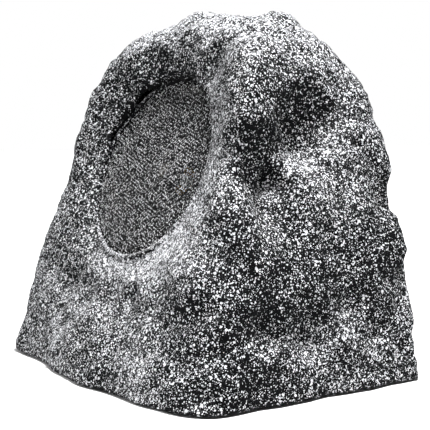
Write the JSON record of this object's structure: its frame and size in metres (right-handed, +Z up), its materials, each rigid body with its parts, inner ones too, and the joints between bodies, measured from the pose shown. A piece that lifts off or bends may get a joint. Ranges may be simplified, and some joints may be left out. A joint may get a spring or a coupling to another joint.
{
  "type": "rock shaped garden speaker",
  "caption": "Outdoor loudspeaker moulded as a speckled granite boulder, with a round tilted grille over a coaxial driver, a screwed base plate on rubber feet and a rear cable gland.",
  "frame": {"origin": "centre of the footprint on the ground, between the rubber feet", "axes": "+Z up, -Y out of the side that carries the grille, +X to the right for a viewer who faces the grille"},
  "size_m": [0.3194, 0.2563, 0.3096],
  "materials": {
    "rock_paint": "matte, speckled off-white over near-black like granite",
    "black_plastic": "matte",
    "foam": "closed cell foam",
    "zinc": "zinc plated",
    "rubber": "matte",
    "grille_paint": "matte, speckled like the rock",
    "black_steel": "satin black",
    "black_screw": "black phosphate",
    "cone_plastic": "matte",
    "spider_cloth": "resin treated cloth",
    "former_film": "amber film",
    "copper": "enamelled copper wire",
    "steel": "zinc plated",
    "ferrite": "dark sintered",
    "brass": "tinned",
    "nickel": "nickel plated",
    "dome_film": "coated silk",
    "board_green": "solder mask",
    "white_plastic": "moulded",
    "capacitor_sleeve": "shrink sleeve",
    "ceramic_white": "matte ceramic",
    "block_green": "moulded",
    "lead_red": "insulated wire",
    "lead_blue": "insulated wire",
    "wadding": "polyester wadding"
  },
  "bodies": {
    "enclosure": {"rock_shell": "rock_paint", "base_plate": "black_plastic", "base_gasket": "foam", "base_screws": "zinc", "rubber_feet": "rubber", "foot_screws": "zinc", "gland_body": "black_plastic", "gland_seal": "rubber", "gland_cap": "black_plastic", "gland_nut": "black_plastic", "grille": "grille_paint", "woofer_gasket": "foam", "basket": "black_steel", "woofer_screws": "black_screw", "trim_ring": "rubber", "surround": "rubber", "spider": "spider_cloth", "top_plate": "steel", "magnet": "ferrite", "yoke": "steel", "terminal_strip": "brass", "tweeter_post": "steel", "post_nut": "steel", "tweeter_housing": "black_plastic", "tweeter_magnet": "nickel", "tweeter_dome": "dome_film", "tweeter_ring": "black_plastic", "crossover_board": "board_green", "board_screws": "zinc", "inductor_spools": "white_plastic", "inductor_coils": "copper", "capacitors": "capacitor_sleeve", "resistor": "ceramic_white", "terminal_block": "block_green", "woofer_leads": "lead_red", "tweeter_leads": "lead_blue", "damping_pad": "wadding"},
    "cone_assembly": {"cone": "cone_plastic", "coil_former": "former_film", "coil_winding": "copper"}
  },
  "joints": [
    {"name": "cone_travel", "type": "slide", "parent": "enclosure", "child": "cone_assembly", "axis": [0, -0.9135, 0.4067], "range_m": [-0.004, 0.004], "stiffness_N_per_m": 1500, "deforming": ["surround", "spider"]}
  ]
}
